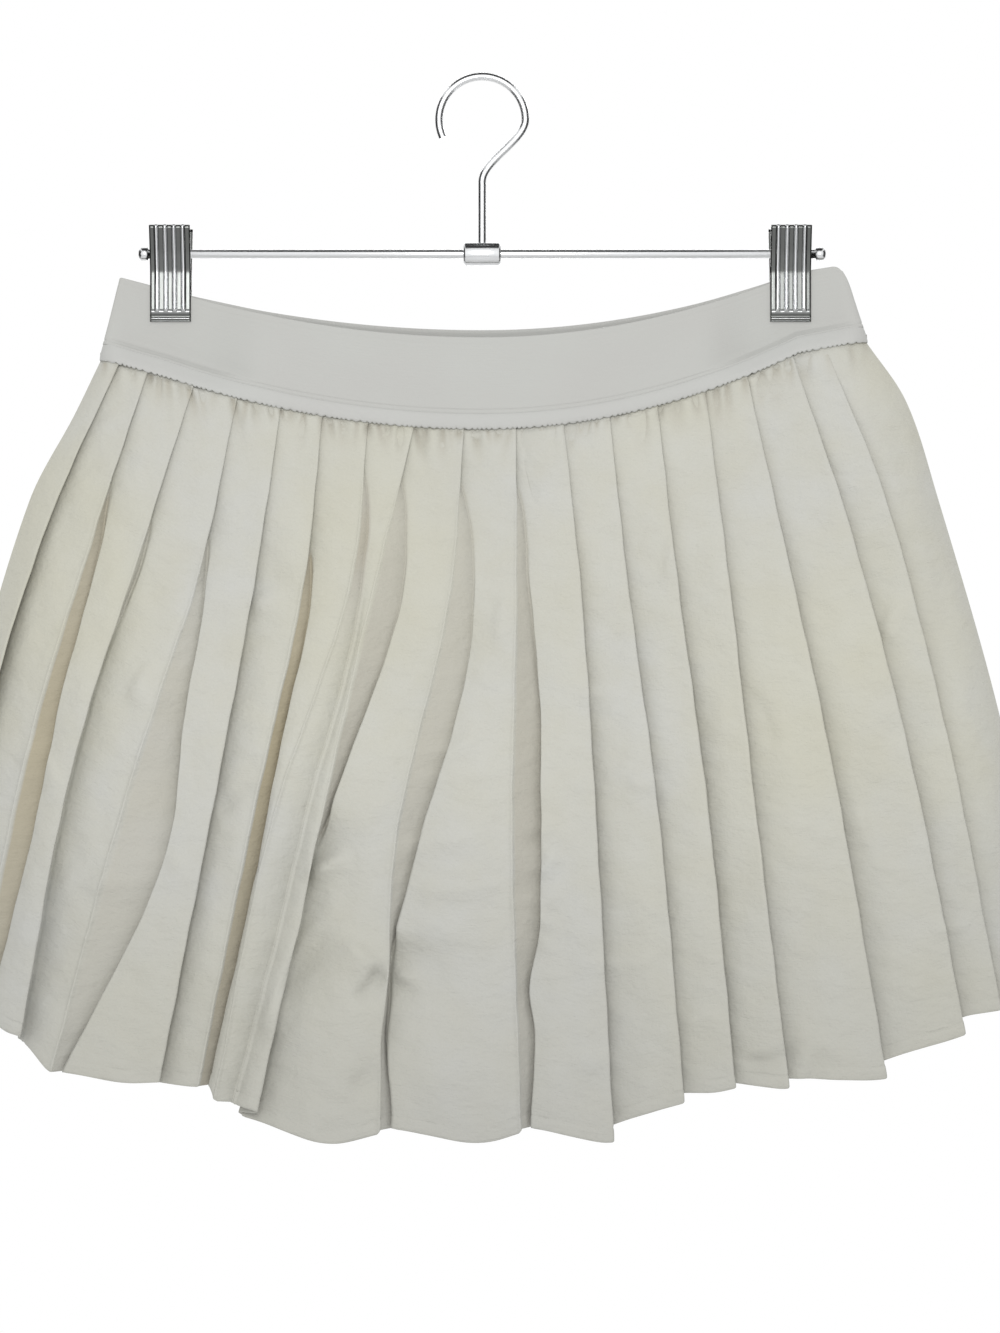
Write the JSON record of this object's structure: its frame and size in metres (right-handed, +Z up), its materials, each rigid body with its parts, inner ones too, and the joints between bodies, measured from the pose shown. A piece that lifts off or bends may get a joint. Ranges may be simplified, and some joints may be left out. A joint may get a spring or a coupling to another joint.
{
  "type": "pleated tennis skirt on a clip hanger",
  "caption": "Short knife-pleated skirt with a wide elastic waistband, hung by its waist from a clip hanger with a wire hook.",
  "frame": {"origin": "inside top of the hook's bend, where it rests on a rail", "axes": "+X to the viewer's right along the hanger's bar, -Y towards the front of the skirt, +Z up"},
  "size_m": [0.559, 0.1315, 0.5098],
  "materials": {
    "cloth": "matt woven",
    "elastic": "matt ribbed elastic",
    "binding": "matt rolled tape",
    "chrome": "bright polished"
  },
  "bodies": {
    "root": {"skirt_front": "cloth", "skirt_back": "cloth", "waistband_front": "elastic", "waistband_back": "elastic", "binding_front": "binding", "binding_back": "binding", "hanger_bar": "chrome", "hanger_boss": "chrome", "hanger_hook": "chrome", "clip_left_front_jaw": "chrome", "clip_left_back_jaw": "chrome", "clip_left_spring": "chrome", "clip_right_front_jaw": "chrome", "clip_right_back_jaw": "chrome", "clip_right_spring": "chrome"}
  },
  "joints": []
}
